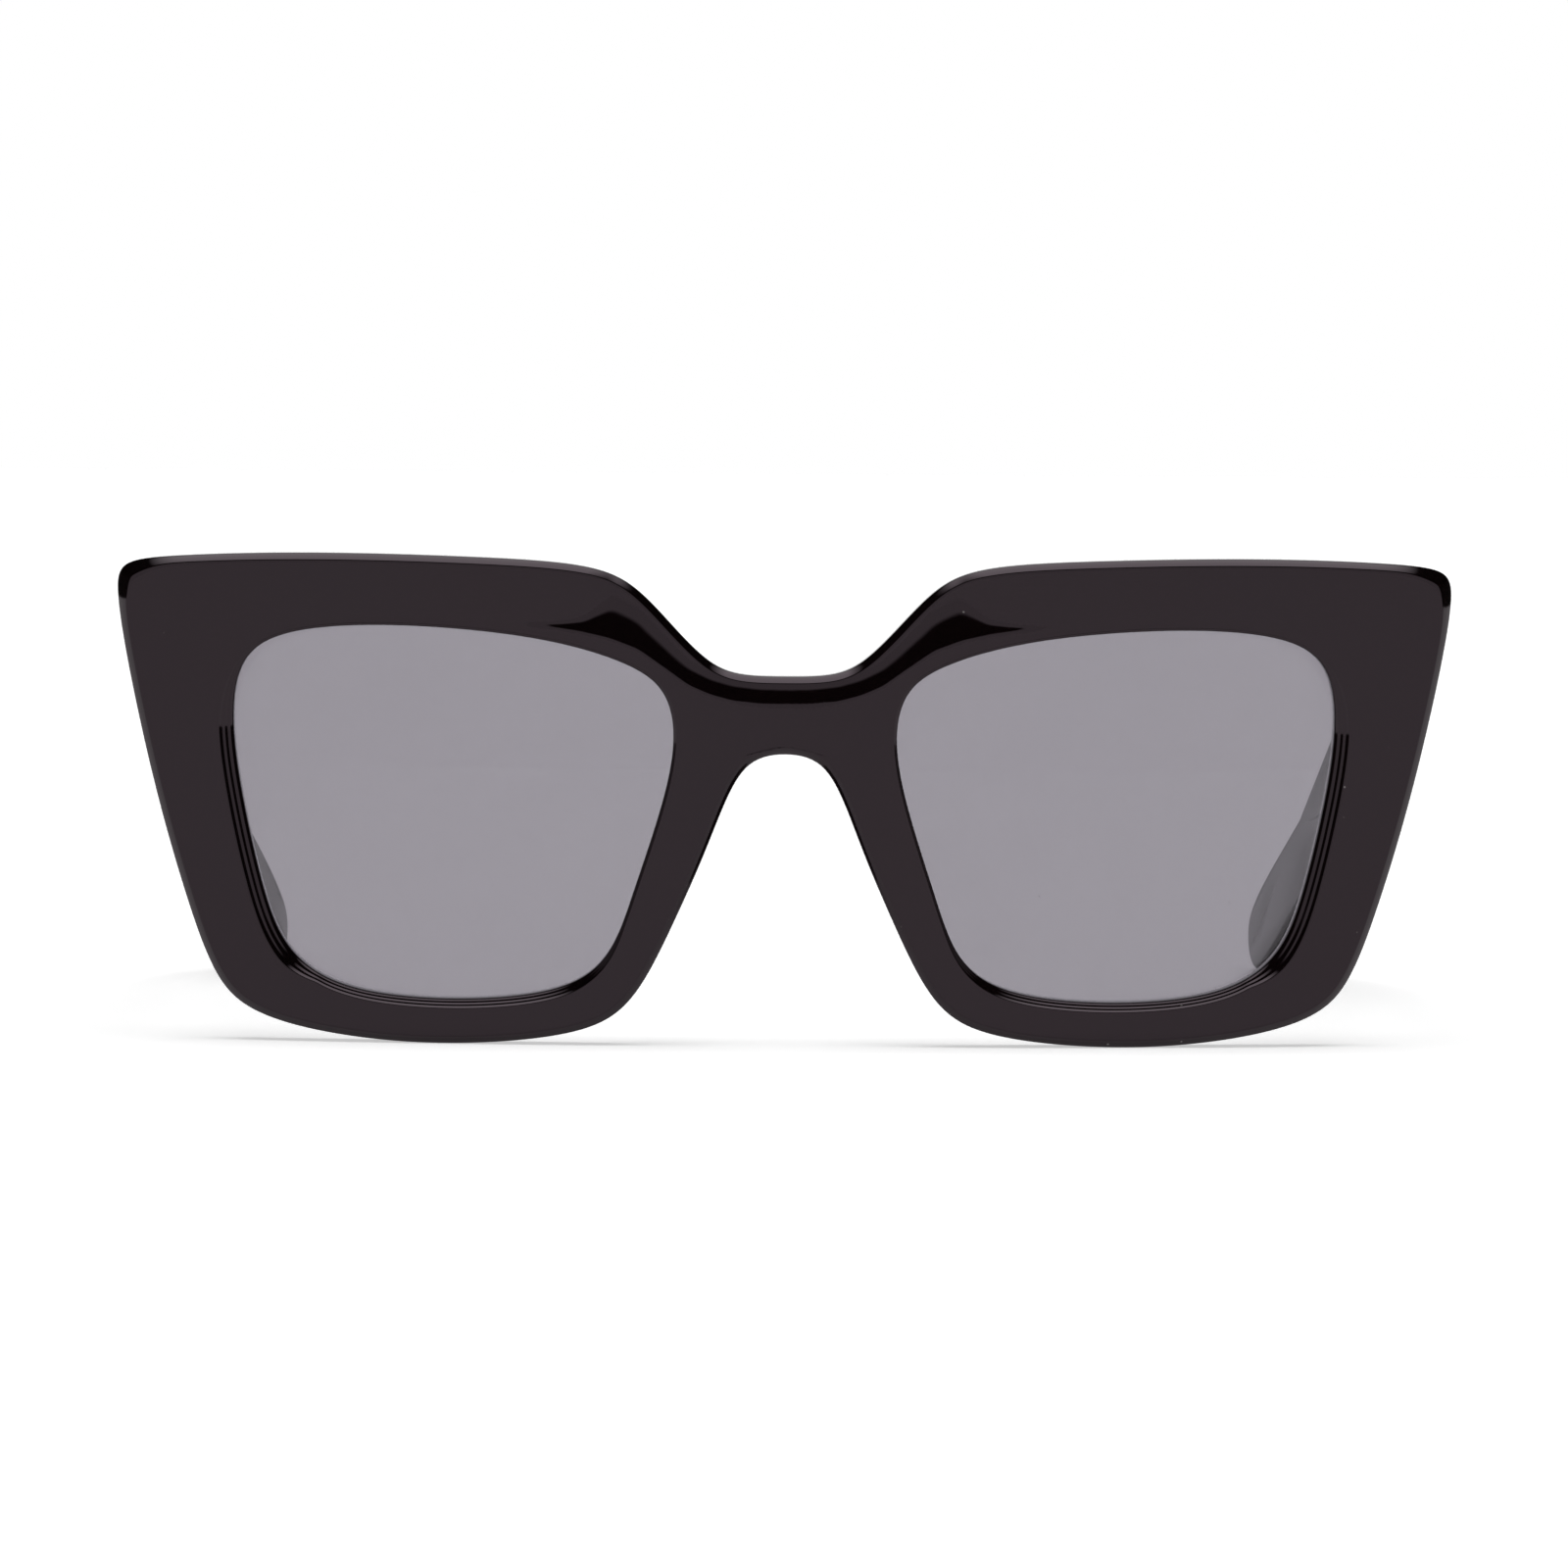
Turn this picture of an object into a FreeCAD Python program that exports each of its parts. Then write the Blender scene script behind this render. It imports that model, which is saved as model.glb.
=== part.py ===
import FreeCAD, Part
import math
import os
import Sketcher

# Cat eye sunglasses: an acetate front, two curved lenses, two nose pads and two temples on
# five-barrel hinges. All sizes are in millimetres, angles in degrees.
# X runs to the viewer's right, the front faces -Y and Z is up. The glasses stand on the two
# rims and the two temple tips. Left and right are the wearer's own, so left is at +X.

Vector = FreeCAD.Vector
Rotation = FreeCAD.Rotation
Placement = FreeCAD.Placement

# ---- driving sizes -------------------------------------------------------------------------
drivingSizes = {
    # lens openings and the rims round them
    "eye_width": 47.9,
    "eye_height": 40.8,
    "bridge_gap": 24.4,
    "bottom_rim": 4.85,
    "side_rim": 13.0,
    "brow_rim": 7.6,
    "bridge_top_rise": 15.0,
    "bridge_bar_height": 8.2,
    "front_thick": 5.4,
    "wrap_radius": 300.0,
    "edge_round": 0.8,
    "opening_round": 0.6,
    # sculpted facet over the bridge
    "facet_width": 29.5,
    "facet_depth": 1.3,
    "facet_rise": 3.4,
    # lenses
    "lens_radius": 265.0,
    "lens_thick": 2.0,
    "lens_seat": 1.6,
    "groove_depth": 0.9,
    "lens_play": 0.1,
    # end pieces that carry the hinges
    "end_boss": 0.55,
    "end_wide": 11.6,
    "end_low": 31.3,
    "end_high": 48.4,
    # hinge
    "hinge_inset": 9.55,
    "hinge_back": 1.5,
    "barrel_radius": 1.3,
    "pin_radius": 0.7,
    "pin_play": 0.05,
    "pin_head_radius": 1.15,
    "pin_head_height": 0.5,
    "knuckle_height": 1.5,
    "knuckle_gap": 0.06,
    "hinge_low": 35.4,
    "plate_thick": 1.0,
    "plate_overlap": 2.6,
    "front_plate_wide": 6.0,
    "temple_plate_long": 11.0,
    "leaf_screw_radius": 0.55,
    "leaf_screw_long": 2.8,
    "leaf_screw_head_radius": 0.95,
    "leaf_screw_head_height": 0.5,
    "leaf_screw_spacing": 5.4,
    "hole_play": 0.02,
    # temples
    "butt_gap": 0.08,
    "temple_inset": 1.4,
    "temple_thick": 4.5,
    "tip_thick": 3.7,
    "temple_reach": 128.5,
    "butt_height": 14.0,
    "butt_low": 32.4,
    "bend_height": 7.5,
    "tip_turn": 5.2,
    "temple_bevel": 0.8,
    # nose pads
    "pad_half_wide": 2.4,
    "pad_half_tall": 8.0,
    "pad_deep": 4.8,
    "pad_outset": 0.1,
    "pad_drop": 5.3,
    "pad_lean": 20.5,
}

# ---- sizes that follow from the driving ones -------------------------------------------------
followingSizes = {
    "eye_centre": "=sizes.bridge_gap / 2 + sizes.eye_width / 2",
    "eye_middle": "=sizes.bottom_rim + sizes.eye_height / 2",
    "half_front": "=sizes.bridge_gap / 2 + sizes.eye_width + sizes.side_rim",
    "front_height": "=sizes.bottom_rim + sizes.eye_height + sizes.brow_rim",
    "end_sag": "=sizes.wrap_radius - sqrt(sizes.wrap_radius ^ 2 - half_front ^ 2)",
    "pad_plane": "=end_sag + sizes.front_thick + sizes.end_boss",
    "hinge_x": "=half_front - sizes.hinge_inset",
    "hinge_y": "=pad_plane + sizes.hinge_back",
    "hinge_pitch": "=sizes.knuckle_height + sizes.knuckle_gap",
    "hinge_tall": "=5 * hinge_pitch - sizes.knuckle_gap",
    "hinge_middle": "=sizes.hinge_low + hinge_tall / 2",
    "plate_tall": "=hinge_tall + sizes.plate_overlap",
    "plate_low": "=sizes.hinge_low - sizes.plate_overlap / 2",
    "ball_share": "=(sizes.lens_seat + sizes.lens_radius) / sizes.wrap_radius",
    "eye_run": "=sqrt(sizes.wrap_radius ^ 2 - eye_centre ^ 2)",
    "ball_x": "=eye_centre * (1 - ball_share)",
    "ball_y": "=sizes.wrap_radius - eye_run * (1 - ball_share)",
}

doc = FreeCAD.newDocument("cat_eye_sunglasses")


def fillSheet(name, values):
    """Puts each value in its own row and names its cell."""
    sheet = doc.addObject("Spreadsheet::Sheet", name)
    for row, (alias, value) in enumerate(values.items(), start=1):
        sheet.set(f"A{row}", alias)
        sheet.set(f"B{row}", str(value))
        sheet.setAlias(f"B{row}", alias)
    doc.recompute()
    return sheet


sizes = fillSheet("sizes", drivingSizes)
fits = fillSheet("fits", followingSizes)


def bind(thing, **rules):
    """Ties properties to expressions; a double underscore stands for a dot."""
    for prop, rule in rules.items():
        thing.setExpression(prop.replace("__", "."), rule)
    return thing


def feature(kind, name, **rules):
    return bind(doc.addObject(kind, name), **rules)


# ---- sketch helpers ----------------------------------------------------------------------------
uprightTurn = Rotation(Vector(1, 0, 0), 90)
sideTurn = Rotation(Vector(1, 1, 1), 120)
flatTurn = Rotation()


def splineSketch(name, poles, turn):
    """A closed cubic B-spline whose poles are held at the given pairs of expressions."""
    sketch = doc.addObject("Sketcher::SketchObject", name)
    sketch.Placement = Placement(Vector(), turn)
    count = len(poles)
    start = [Vector(sketch.evalExpression(u), sketch.evalExpression(v), 0) for u, v in poles]
    curve = Part.BSplineCurve()
    curve.buildFromPolesMultsKnots(start, [1] * (count + 1), range(count + 1), True, 3)
    line = sketch.addGeometry(curve, False)
    sketch.exposeInternalGeometry(line)
    circles = [
        index
        for index in range(sketch.GeometryCount)
        if sketch.Geometry[index].TypeId == "Part::GeomCircle"
    ]
    for circle, point, rules in zip(circles, start, poles):
        for axis, value, rule in zip("XY", (point.x, point.y), rules):
            limit = Sketcher.Constraint(f"Distance{axis}", -1, 1, circle, 3, value)
            number = sketch.addConstraint(limit)
            sketch.setExpression(f"Constraints[{number}]", rule)
    return sketch


def polygonSketch(owner, name, corners, turn=None):
    """A closed polygon whose corners are held at the given pairs of expressions."""
    sketch = owner.newObject("Sketcher::SketchObject", name) if turn is None else doc.addObject(
        "Sketcher::SketchObject", name
    )
    if turn is not None:
        sketch.Placement = Placement(Vector(), turn)
    points = [
        Vector(sketch.evalExpression(u), sketch.evalExpression(v), 0) for u, v in corners
    ]
    count = len(points)
    for index, point in enumerate(points):
        sketch.addGeometry(Part.LineSegment(point, points[(index + 1) % count]), False)
    for index in range(count):
        following = (index + 1) % count
        sketch.addConstraint(Sketcher.Constraint("Coincident", index, 2, following, 1))
    for index, (point, rules) in enumerate(zip(points, corners)):
        for axis, value, rule in zip("XY", (point.x, point.y), rules):
            limit = Sketcher.Constraint(f"Distance{axis}", -1, 1, index, 1, value)
            number = sketch.addConstraint(limit)
            sketch.setExpression(f"Constraints[{number}]", rule)
    return sketch


def extrusion(name, sketch, direction, forward, backward):
    block = feature("Part::Extrusion", name, LengthFwd=forward, LengthRev=backward)
    block.Base = sketch
    block.DirMode = "Custom"
    block.Dir = direction
    block.Solid = True
    return block


def box(name, corner, span):
    rules = dict(zip(("Length", "Width", "Height"), span))
    block = feature("Part::Box", name, **rules)
    return bind(
        block,
        Placement__Base__x=corner[0],
        Placement__Base__y=corner[1],
        Placement__Base__z=corner[2],
    )


def cylinder(name, centre, radius, height, turn=None):
    rod = feature("Part::Cylinder", name, Radius=radius, Height=height)
    if turn is not None:
        rod.Placement = Placement(Vector(), turn)
    return bind(
        rod,
        Placement__Base__x=centre[0],
        Placement__Base__y=centre[1],
        Placement__Base__z=centre[2],
    )


def cut(name, base, tool):
    result = doc.addObject("Part::Cut", name)
    result.Base = base
    result.Tool = tool
    return result


def common(name, first, second):
    result = doc.addObject("Part::MultiCommon", name)
    result.Shapes = [first, second]
    return result


def joined(name, things):
    result = doc.addObject("Part::MultiFuse", name)
    result.Shapes = things
    return result


def mirrored(name, source):
    result = doc.addObject("Part::Mirroring", name)
    result.Source = source
    result.Base = Vector(0, 0, 0)
    result.Normal = Vector(1, 0, 0)
    return result


def softened(kind, name, base, radius, test):
    """Rounds or bevels every edge of base that passes the test."""
    doc.recompute()
    chosen = [
        number
        for number, edge in enumerate(base.Shape.Edges, start=1)
        if test(edge)
    ]
    result = doc.addObject(kind, name)
    result.Base = base
    result.Edges = [(number, radius, radius) for number in chosen]
    return result


def edgeMiddle(edge):
    return edge.valueAt((edge.FirstParameter + edge.LastParameter) / 2)


# ---- outlines ----------------------------------------------------------------------------------
# The lens opening as shares of its half width and half height, from the nasal side over the
# brow, round the temple side and back along the bottom.
eyePoles = [
    (-1.02, 0.35), (-0.985, 0.66), (-0.80, 0.805), (-0.45, 0.925), (0.0, 0.985),
    (0.45, 1.0), (0.82, 0.95), (0.99, 0.79), (1.015, 0.45), (0.96, 0.05),
    (0.88, -0.36), (0.78, -0.74), (0.55, -0.94), (0.2, -1.005), (-0.2, -1.005),
    (-0.55, -0.94), (-0.735, -0.76), (-0.825, -0.42), (-0.935, -0.04),
]


def eyeOutline(name, growth):
    """The lens opening's outline, with its half sizes grown by the named amount."""
    poles = [
        (
            f"fits.eye_centre + {across} * (sizes.eye_width / 2 + {growth})",
            f"fits.eye_middle + {up} * (sizes.eye_height / 2 + {growth})",
        )
        for across, up in eyePoles
    ]
    return splineSketch(name, poles, uprightTurn)


# Each stretch of the outer outline goes with the sizes that it follows.
bridgeHalf = "sizes.bridge_gap / 2"
sideReach = "(sizes.eye_width / 2 + sizes.side_rim)"
browReach = "(sizes.eye_height / 2 + sizes.brow_rim)"
bottomReach = "(sizes.eye_height / 2 + sizes.bottom_rim)"
bridgeTop = "fits.eye_middle + sizes.bridge_top_rise"
archTop = "fits.eye_middle + sizes.bridge_top_rise - sizes.bridge_bar_height"

# the bridge's top and the brow's inner slope: share of the bridge gap's half, share of the rise
# from the bridge's top to the brow
bridgeShares = [(0.37, 0.0), (0.655, 0.075), (0.98, 0.385), (1.27, 0.69), (1.56, 0.875)]
# the brow, the wing and the side: share of the side reach, share of the brow reach
browShares = [
    (-0.30, 0.978), (-0.03, 0.992), (0.27, 1.002), (0.565, 1.0), (0.81, 0.986),
    (0.95, 0.97), (1.0, 0.93), (1.0, 0.83), (0.975, 0.617), (0.92, 0.278),
]
# the side and the bottom, out to in: share of the side reach, share of the bottom reach
bottomShares = [
    (0.855, -0.068), (0.775, -0.444), (0.72, -0.66), (0.655, -0.82), (0.535, -0.91),
    (0.36, -0.968), (0.13, -1.004), (-0.11, -1.0), (-0.33, -0.964),
]
# the nose's side: share of the bridge gap's half, share of the bottom reach
noseShares = [
    (1.52, -0.896), (1.245, -0.742), (0.985, -0.476), (0.72, -0.188), (0.54, 0.05),
]


def outerOutline():
    """The front's outline: right half from the stretches above, left half mirrored."""
    right = [
        (f"{across} * {bridgeHalf}",
         f"{bridgeTop} + {up} * (fits.front_height - ({bridgeTop}))")
        for across, up in bridgeShares
    ]
    right += [
        (f"fits.eye_centre + {across} * {sideReach}", f"fits.eye_middle + {up} * {browReach}")
        for across, up in browShares
    ]
    right += [
        (f"fits.eye_centre + {across} * {sideReach}", f"fits.eye_middle + {up} * {bottomReach}")
        for across, up in bottomShares
    ]
    right += [
        (f"{across} * {bridgeHalf}", f"fits.eye_middle + {up} * {bottomReach}")
        for across, up in noseShares
    ]
    right += [(f"0.345 * {bridgeHalf}", f"{archTop} - 0.8")]
    left = [(f"-({across})", up) for across, up in reversed(right)]
    top = [("0", bridgeTop)]
    arch = [("0", archTop)]
    return splineSketch("front_outline", top + right + arch + left, uprightTurn)


# The crease of the facet over the bridge: share of the facet's width, height over the bar's top.
creaseShares = [
    (0.20, -3.0), (0.36, -1.1), (0.52, 2.0), (0.68, 4.5), (0.86, 6.2), (1.0, 7.3), (1.12, 12.0),
    (0.9, 20.0), (0.4, 24.0),
]


def facetOutline(name, lift):
    """The facet's edge, lifted by the named amount."""
    right = [
        (f"{across} * sizes.facet_width", f"{bridgeTop} + {up} + {lift}")
        for across, up in creaseShares
    ]
    left = [(f"-({across})", up) for across, up in reversed(right)]
    low = [("0", f"{bridgeTop} - 3.2 + {lift}")]
    high = [("0", f"{bridgeTop} + 24.5 + {lift}")]
    return splineSketch(name, low + right + high + left, uprightTurn)


# ---- front ---------------------------------------------------------------------------------------
forward = Vector(0, 1, 0)
outlineBlock = extrusion("outline_block", outerOutline(), forward, "fits.pad_plane + 5", "3")
outerDrum = cylinder(
    "outer_drum", ("0", "sizes.wrap_radius", "-10"), "sizes.wrap_radius",
    "fits.front_height + 20",
)
innerDrum = cylinder(
    "inner_drum", ("0", "sizes.wrap_radius", "-10"), "sizes.wrap_radius - sizes.front_thick",
    "fits.front_height + 20",
)
curvedSlab = cut("curved_slab", outerDrum, innerDrum)
endBlock = box(
    "end_block",
    ("fits.half_front - sizes.end_wide", "fits.end_sag + 1", "sizes.end_low"),
    ("sizes.end_wide + 2", "fits.pad_plane - fits.end_sag - 1",
     "sizes.end_high - sizes.end_low"),
)
thickParts = joined("thick_parts", [curvedSlab, endBlock, mirrored("end_block_right", endBlock)])
frontBlank = common("front_blank", outlineBlock, thickParts)


def onFrontFace(edge, depth):
    """True when the edge's middle lies on the front's curved face of the given depth."""
    radius = sizes.wrap_radius - depth
    spots = [edge.valueAt(edge.FirstParameter + share * (edge.LastParameter - edge.FirstParameter))
             for share in (0.2, 0.5, 0.8)]
    return all(
        abs(math.hypot(spot.x, spot.y - sizes.wrap_radius) - radius) < 0.02 for spot in spots
    )


frontRounded = softened(
    "Part::Fillet", "front_rounded", frontBlank, sizes.edge_round, lambda edge: onFrontFace(edge, 0)
)

# ---- lens, its groove and the opening ------------------------------------------------------------


def lensShell(name, play):
    """The space between the lens's two curved faces, grown by the given play on each."""
    shells = []
    for side, rule in (
        ("front", f"sizes.lens_radius + {play}"),
        ("back", f"sizes.lens_radius - sizes.lens_thick - {play}"),
    ):
        ball = feature("Part::Sphere", f"{name}_{side}_ball", Radius=rule)
        bind(
            ball,
            Placement__Base__x="fits.ball_x",
            Placement__Base__y="fits.ball_y",
            Placement__Base__z="fits.eye_middle",
        )
        shells.append(ball)
    return cut(name, shells[0], shells[1])


lensDepth = "fits.pad_plane + 8"
lensBlock = extrusion(
    "lens_block", eyeOutline("lens_outline", "sizes.groove_depth - sizes.lens_play"), forward,
    lensDepth, "5",
)
leftLens = common("left_lens", lensBlock, lensShell("lens_shell", "0"))
grooveBlock = extrusion(
    "groove_block", eyeOutline("groove_outline", "sizes.groove_depth"), forward, lensDepth, "5"
)
grooveTool = common("groove_tool", grooveBlock, lensShell("groove_shell", "sizes.lens_play"))
openingTool = extrusion("opening_tool", eyeOutline("eye_outline", "0"), forward, lensDepth, "5")
frontOpened = cut(
    "front_opened", frontRounded,
    joined("openings", [openingTool, mirrored("opening_tool_right", openingTool)]),
)


def roundsOpening(edge):
    """True for the two front edges of the lens openings."""
    middle = edgeMiddle(edge)
    inside = abs(abs(middle.x) - fits.eye_centre) < sizes.eye_width / 2 + 1
    level = abs(middle.z - fits.eye_middle) < sizes.eye_height / 2 + 1
    return inside and level and onFrontFace(edge, 0)


frontSoft = softened(
    "Part::Fillet", "front_soft", frontOpened, sizes.opening_round, roundsOpening
)

facetLow = facetOutline("facet_low", "0")
facetHigh = facetOutline("facet_high", "sizes.facet_rise")
bind(facetLow, Placement__Base__y="-0.3")
bind(facetHigh, Placement__Base__y="sizes.facet_depth")
facetTool = doc.addObject("Part::Loft", "facet_tool")
facetTool.Sections = [facetLow, facetHigh]
facetTool.Solid = True
facetTool.Ruled = True
frontCarved = cut("front_carved", frontSoft, facetTool)

# ---- hinge ------------------------------------------------------------------------------------------
# Everything on the temple is drawn about the hinge's axis: x outward from it, y back from it.
hingeFrame = Placement(Vector(fits.hinge_x, fits.hinge_y, 0), Rotation())


def knuckles(name, numbers, reachCorner, reachSpan):
    """Barrels at the given places in the stack, each with its web to the plate."""
    things = []
    for number in numbers:
        level = f"sizes.hinge_low + {number} * fits.hinge_pitch"
        things.append(
            cylinder(f"{name}_barrel_{number}", ("0", "0", level), "sizes.barrel_radius",
                     "sizes.knuckle_height")
        )
        things.append(
            box(f"{name}_web_{number}", (reachCorner[0], reachCorner[1], level),
                (reachSpan[0], reachSpan[1], "sizes.knuckle_height"))
        )
    return things


def pinBore(name):
    return cylinder(name, ("0", "0", "sizes.hinge_low - 5"), "sizes.pin_radius + sizes.pin_play",
                    "fits.hinge_tall + 10")


def leafScrewHeights():
    return [f"fits.hinge_middle {sign} sizes.leaf_screw_spacing / 2" for sign in "-+"]


# Front leaf: a plate sunk in the end piece's back, with three barrels.
frontPlateCorner = ("-sizes.barrel_radius - 0.4", "-sizes.hinge_back - sizes.plate_thick",
                    "fits.plate_low")
frontPlateSpan = ("sizes.front_plate_wide", "sizes.plate_thick", "fits.plate_tall")
frontScrewX = "sizes.front_plate_wide - sizes.barrel_radius - 0.4 - 1.7"
backTurn = Rotation(Vector(1, 0, 0), 90)
frontLeafBody = joined(
    "front_leaf_body",
    [box("front_plate", frontPlateCorner, frontPlateSpan)]
    + knuckles("front", (0, 2, 4), ("-sizes.barrel_radius", "-sizes.hinge_back - 0.3"),
               ("2 * sizes.barrel_radius", "sizes.hinge_back + 0.3")),
)
frontLeafHoles = [pinBore("front_pin_bore")]
for number, level in enumerate(leafScrewHeights()):
    place = (frontScrewX, "-sizes.hinge_back + 0.01", level)
    frontLeafHoles.append(
        cylinder(f"front_leaf_hole_{number}", place, "sizes.leaf_screw_radius + sizes.hole_play",
                 "sizes.plate_thick + 1", backTurn)
    )
    frontLeafHoles.append(
        cylinder(f"front_leaf_sink_{number}", place,
                 "sizes.leaf_screw_head_radius + sizes.hole_play",
                 "sizes.leaf_screw_head_height + 0.03", backTurn)
    )
leftFrontLeaf = cut("left_front_hinge_leaf", frontLeafBody, joined("front_holes", frontLeafHoles))
leftFrontLeaf.Placement = hingeFrame

# Temple leaf: a plate sunk in the temple's inner face, with two barrels between the three.
templePlateY = "-sizes.barrel_radius + 0.3"
templePlateCorner = ("sizes.temple_inset", templePlateY, "fits.plate_low")
templePlateSpan = ("sizes.plate_thick", "sizes.temple_plate_long", "fits.plate_tall")
templeScrewY = "sizes.temple_plate_long - sizes.barrel_radius + 0.3 - 2.4"
outTurn = Rotation(Vector(0, 1, 0), 90)
templeLeafBody = joined(
    "temple_leaf_body",
    [box("temple_plate", templePlateCorner, templePlateSpan)]
    + knuckles("temple", (1, 3), ("0", templePlateY),
               ("sizes.temple_inset + 0.3", "2 * sizes.barrel_radius - 0.3")),
)
templeLeafHoles = [pinBore("temple_pin_bore")]
for number, level in enumerate(leafScrewHeights()):
    place = ("sizes.temple_inset - 0.01", templeScrewY, level)
    templeLeafHoles.append(
        cylinder(f"temple_leaf_hole_{number}", place, "sizes.leaf_screw_radius + sizes.hole_play",
                 "sizes.plate_thick + 1", outTurn)
    )
    templeLeafHoles.append(
        cylinder(f"temple_leaf_sink_{number}", place,
                 "sizes.leaf_screw_head_radius + sizes.hole_play",
                 "sizes.leaf_screw_head_height + 0.03", outTurn)
    )
leftTempleLeaf = cut(
    "left_temple_hinge_leaf", templeLeafBody, joined("temple_holes", templeLeafHoles)
)
leftTempleLeaf.Placement = hingeFrame


def screwBody(name, shankRadius, shankLong, headRadius, headHigh, place):
    """A turned screw: head's top at the origin, shank along its own -Z, a slot across."""
    body = doc.addObject("PartDesign::Body", name)
    planes = {plane.Role: plane for plane in body.Origin.OriginFeatures}
    corners = [
        ("0", "0"), (headRadius, "0"), (headRadius, f"-({headHigh})"),
        (shankRadius, f"-({headHigh})"), (shankRadius, f"-({headHigh}) - ({shankLong}) + 0.3"),
        (f"{shankRadius} - 0.25", f"-({headHigh}) - ({shankLong})"),
        ("0", f"-({headHigh}) - ({shankLong})"),
    ]
    profile = polygonSketch(body, f"{name}_profile", corners)
    profile.AttachmentSupport = (planes["XZ_Plane"], "")
    profile.MapMode = "FlatFace"
    turned = body.newObject("PartDesign::Revolution", f"{name}_turned")
    turned.Profile = profile
    turned.ReferenceAxis = (profile, ["V_Axis"])
    turned.Angle = 360
    slot = polygonSketch(
        body, f"{name}_slot_outline",
        [(f"-({headRadius}) - 1", "-0.14"), (f"{headRadius} + 1", "-0.14"),
         (f"{headRadius} + 1", "0.14"), (f"-({headRadius}) - 1", "0.14")],
    )
    slot.AttachmentSupport = (planes["XY_Plane"], "")
    slot.MapMode = "FlatFace"
    slotCut = body.newObject("PartDesign::Pocket", f"{name}_slot")
    slotCut.Profile = slot
    bind(slotCut, Length=f"{headHigh} * 0.55")
    body.Tip = slotCut
    body.Placement = place
    return body


hingeTop = sizes.hinge_low + fits.hinge_tall
leftHingeScrew = screwBody(
    "left_hinge_screw", "sizes.pin_radius", "fits.hinge_tall", "sizes.pin_head_radius",
    "sizes.pin_head_height",
    Placement(Vector(fits.hinge_x, fits.hinge_y, hingeTop + sizes.pin_head_height), Rotation()),
)

screwHeights = {"lower": -sizes.leaf_screw_spacing / 2, "upper": sizes.leaf_screw_spacing / 2}
frontScrewAcross = sizes.front_plate_wide - sizes.barrel_radius - 2.1
templeScrewAlong = sizes.temple_plate_long - sizes.barrel_radius - 2.1
leafScrews = []
frontScrewHoles = []
templeScrewHoles = []
for level, rise in screwHeights.items():
    spot = Vector(fits.hinge_x + frontScrewAcross, fits.pad_plane, fits.hinge_middle + rise)
    leafScrews.append(
        screwBody(f"left_front_leaf_{level}_screw", "sizes.leaf_screw_radius",
                  "sizes.leaf_screw_long", "sizes.leaf_screw_head_radius",
                  "sizes.leaf_screw_head_height",
                  Placement(spot, Rotation(Vector(1, 0, 0), -90)))
    )
    frontScrewHoles.append(
        cylinder(f"front_screw_hole_{level}",
                 ("fits.hinge_x + " + frontScrewX, "fits.pad_plane",
                  f"fits.hinge_middle + {rise}"),
                 "sizes.leaf_screw_radius + sizes.hole_play",
                 "sizes.leaf_screw_long + sizes.leaf_screw_head_height + 0.1", backTurn)
    )
    spot = Vector(sizes.temple_inset, templeScrewAlong, fits.hinge_middle + rise)
    onTemple = Placement(spot, Rotation(Vector(0, 1, 0), -90))
    leafScrews.append(
        screwBody(f"left_temple_leaf_{level}_screw", "sizes.leaf_screw_radius",
                  "sizes.leaf_screw_long - 0.4", "sizes.leaf_screw_head_radius",
                  "sizes.leaf_screw_head_height", hingeFrame.multiply(onTemple))
    )
    templeScrewHoles.append(
        cylinder(f"temple_screw_hole_{level}",
                 ("sizes.temple_inset", templeScrewY, f"fits.hinge_middle + {rise}"),
                 "sizes.leaf_screw_radius + sizes.hole_play",
                 "sizes.leaf_screw_long + sizes.leaf_screw_head_height - 0.3", outTurn)
    )

# ---- front, finished -------------------------------------------------------------------------------
frontPocket = box(
    "front_leaf_pocket",
    (f"fits.hinge_x + {frontPlateCorner[0]}", f"fits.hinge_y + {frontPlateCorner[1]}",
     frontPlateCorner[2]),
    (frontPlateSpan[0], "sizes.plate_thick + 2", frontPlateSpan[2]),
)
frontTools = [grooveTool, frontPocket] + frontScrewHoles
frontTools += [mirrored(f"{tool.Name}_right", tool) for tool in list(frontTools)]
frontFrame = cut("front_frame", frontCarved, joined("front_tools", frontTools))

# ---- temple ------------------------------------------------------------------------------------------
# Side view, from the butt along the top over the ear bend, round the tip and back along the
# bottom. Each pole lies at a share of the temple's reach.
topPoles = [
    ("-12", "sizes.butt_low + sizes.butt_height + 2.0"),
    ("10", "sizes.butt_low + sizes.butt_height - 2.0"),
    ("0.35 * sizes.temple_reach", "sizes.butt_low + sizes.butt_height - 8.6"),
    ("0.57 * sizes.temple_reach", "sizes.butt_low + sizes.butt_height - 14.2"),
    ("0.685 * sizes.temple_reach", "sizes.butt_low + sizes.butt_height - 17.0"),
    ("0.77 * sizes.temple_reach", "sizes.butt_low + sizes.butt_height - 22.0"),
    ("0.89 * sizes.temple_reach", "sizes.butt_low + sizes.butt_height - 30.6"),
    ("0.972 * sizes.temple_reach", "sizes.bend_height + 2.2"),
    ("1.008 * sizes.temple_reach", "sizes.bend_height - 1.4"),
]
bottomPoles = [
    ("1.0 * sizes.temple_reach", "0.9"),
    ("0.967 * sizes.temple_reach", "-0.7"),
    ("0.925 * sizes.temple_reach", "1.9"),
    ("0.80 * sizes.temple_reach", "10.9"),
    ("0.70 * sizes.temple_reach", "18.6"),
    ("0.62 * sizes.temple_reach", "22.6"),
    ("0.50 * sizes.temple_reach", "24.9"),
    ("0.30 * sizes.temple_reach", "sizes.butt_low - 4.4"),
    ("10", "sizes.butt_low - 1.0"),
    ("-12", "sizes.butt_low + 1.6"),
]
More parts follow.
